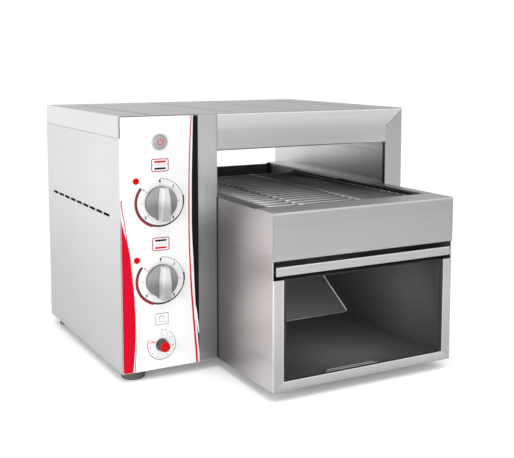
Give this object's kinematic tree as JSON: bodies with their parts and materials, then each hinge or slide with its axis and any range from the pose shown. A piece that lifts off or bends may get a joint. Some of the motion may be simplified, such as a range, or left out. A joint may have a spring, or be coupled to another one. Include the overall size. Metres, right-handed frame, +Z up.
{
  "type": "conveyor toaster",
  "caption": "Steel counter-top conveyor toaster: a wire belt runs through a heated tunnel beside a control panel, and toast drops to a chute and tray below.",
  "frame": {"origin": "middle of the bottom of the machine's bounding box, on the plane that its feet stand on", "axes": "+Z up, +X to the right seen from the front, +Y from the front box towards the back"},
  "size_m": [0.48, 0.541, 0.376],
  "materials": {
    "casing_steel": "fine vertical brushed grain",
    "side_steel": "pale satin brushed sheet",
    "box_steel": "horizontal brushed grain",
    "hidden_steel": "plain mill finish",
    "dark_liner": "dark baked coating, slightly worn",
    "label_white": "white printed sheet with red and black graphics",
    "knob_grey": "satin metallic grey",
    "button_metal": "satin chrome",
    "black_plastic": "black moulded plastic",
    "red_plastic": "red moulded plastic",
    "lamp_red": "red lens",
    "belt_wire": "bright spring wire, heat tinted in the tunnel",
    "shaft_steel": "ground bar",
    "sprocket_steel": "oiled steel",
    "chain_steel": "oiled chain",
    "bronze": "sintered bronze",
    "quartz": "milky quartz tube",
    "ceramic_white": "unglazed ceramic",
    "wool": "mineral wool",
    "motor_paint": "black enamel",
    "board_green": "circuit board",
    "cream_plastic": "cream moulded plastic",
    "foot_rubber": "matt black rubber",
    "screw_steel": "zinc plated",
    "wire_insulation": "sleeved wire"
  },
  "bodies": {
    "machine": {"base_pan": "hidden_steel", "front_panel": "casing_steel", "control_label": "label_white", "left_side_panel": "side_steel", "top_cover": "casing_steel", "hood_front": "casing_steel", "right_side_panel": "casing_steel", "rear_panel": "casing_steel", "rear_screws": "screw_steel", "partition_wall": "casing_steel", "right_inner_wall": "casing_steel", "box_left_side": "box_steel", "box_right_side": "box_steel", "box_floor": "box_steel", "front_fascia": "box_steel", "left_rail": "box_steel", "right_rail": "box_steel", "compartment_liner": "dark_liner", "discharge_chute": "dark_liner", "tray_runners": "hidden_steel", "conveyor_belt": "belt_wire", "belt_supports": "hidden_steel", "shaft_bushes": "bronze", "drive_chain": "chain_steel", "chain_tensioner": "cream_plastic", "gear_motor": "motor_paint", "motor_bracket": "hidden_steel", "upper_heating_tubes": "quartz", "lower_heating_tubes": "quartz", "tube_end_caps": "ceramic_white", "upper_element_guard": "hidden_steel", "upper_reflector": "hidden_steel", "lower_reflector": "hidden_steel", "insulation_blanket": "wool", "upper_heat_regulator": "cream_plastic", "lower_heat_regulator": "cream_plastic", "speed_control": "hidden_steel", "power_switch": "button_metal", "pilot_lamps": "lamp_red", "control_board": "board_green", "terminal_block": "cream_plastic", "cable_gland": "black_plastic", "wiring_loom": "wire_insulation", "feet": "foot_rubber"},
    "upper_knob": {"upper_heat_knob": "knob_grey", "upper_heat_spindle": "shaft_steel"},
    "lower_knob": {"lower_heat_knob": "knob_grey", "lower_heat_spindle": "shaft_steel"},
    "speed_dial": {"speed_knob": "black_plastic", "speed_knob_cap": "red_plastic", "speed_spindle": "shaft_steel"},
    "push_button": {"power_button": "button_metal"},
    "crumb_drawer": {"crumb_tray": "box_steel"},
    "toast_drawer": {"toast_tray": "dark_liner"},
    "belt_drive": {"drive_shaft": "shaft_steel", "drive_sprockets": "sprocket_steel", "driven_sprocket": "sprocket_steel"},
    "belt_idler": {"idler_shaft": "shaft_steel"},
    "motor_drive": {"motor_output_shaft": "shaft_steel", "motor_sprocket": "sprocket_steel"}
  },
  "joints": [
    {"name": "upper_knob_turn", "type": "hinge", "parent": "machine", "child": "upper_knob", "pos_m": [-0.181, -0.1175, 0.254], "axis": [0, 1, 0], "range_deg": [0, 310]},
    {"name": "lower_knob_turn", "type": "hinge", "parent": "machine", "child": "lower_knob", "pos_m": [-0.181, -0.1175, 0.1426], "axis": [0, 1, 0], "range_deg": [0, 310]},
    {"name": "speed_dial_turn", "type": "hinge", "parent": "machine", "child": "speed_dial", "pos_m": [-0.181, -0.1135, 0.0488], "axis": [0, 1, 0], "range_deg": [-295, 0]},
    {"name": "button_press", "type": "slide", "parent": "machine", "child": "push_button", "axis": [0, 1, 0], "range_m": [0, 0.002], "stiffness_N_per_m": 400},
    {"name": "crumb_drawer_slide", "type": "slide", "parent": "machine", "child": "crumb_drawer", "axis": [0, -1, 0], "range_m": [0, 0.36]},
    {"name": "toast_drawer_slide", "type": "slide", "parent": "machine", "child": "toast_drawer", "axis": [0, -1, 0], "range_m": [0, 0.22]},
    {"name": "drive_spin", "type": "hinge", "parent": "machine", "child": "belt_drive", "pos_m": [0.058, 0.1295, 0.22615], "axis": [1, 0, 0], "continuous": true},
    {"name": "idler_spin", "type": "hinge", "parent": "machine", "child": "belt_idler", "pos_m": [0.058, -0.2055, 0.22615], "axis": [1, 0, 0], "continuous": true},
    {"name": "motor_spin", "type": "hinge", "parent": "machine", "child": "motor_drive", "pos_m": [-0.116, 0.1295, 0.102], "axis": [1, 0, 0], "continuous": true}
  ],
  "couplings": [
    {"joint": "idler_spin", "follows": "drive_spin", "ratio": 1},
    {"joint": "motor_spin", "follows": "drive_spin", "ratio": 1.6667}
  ]
}
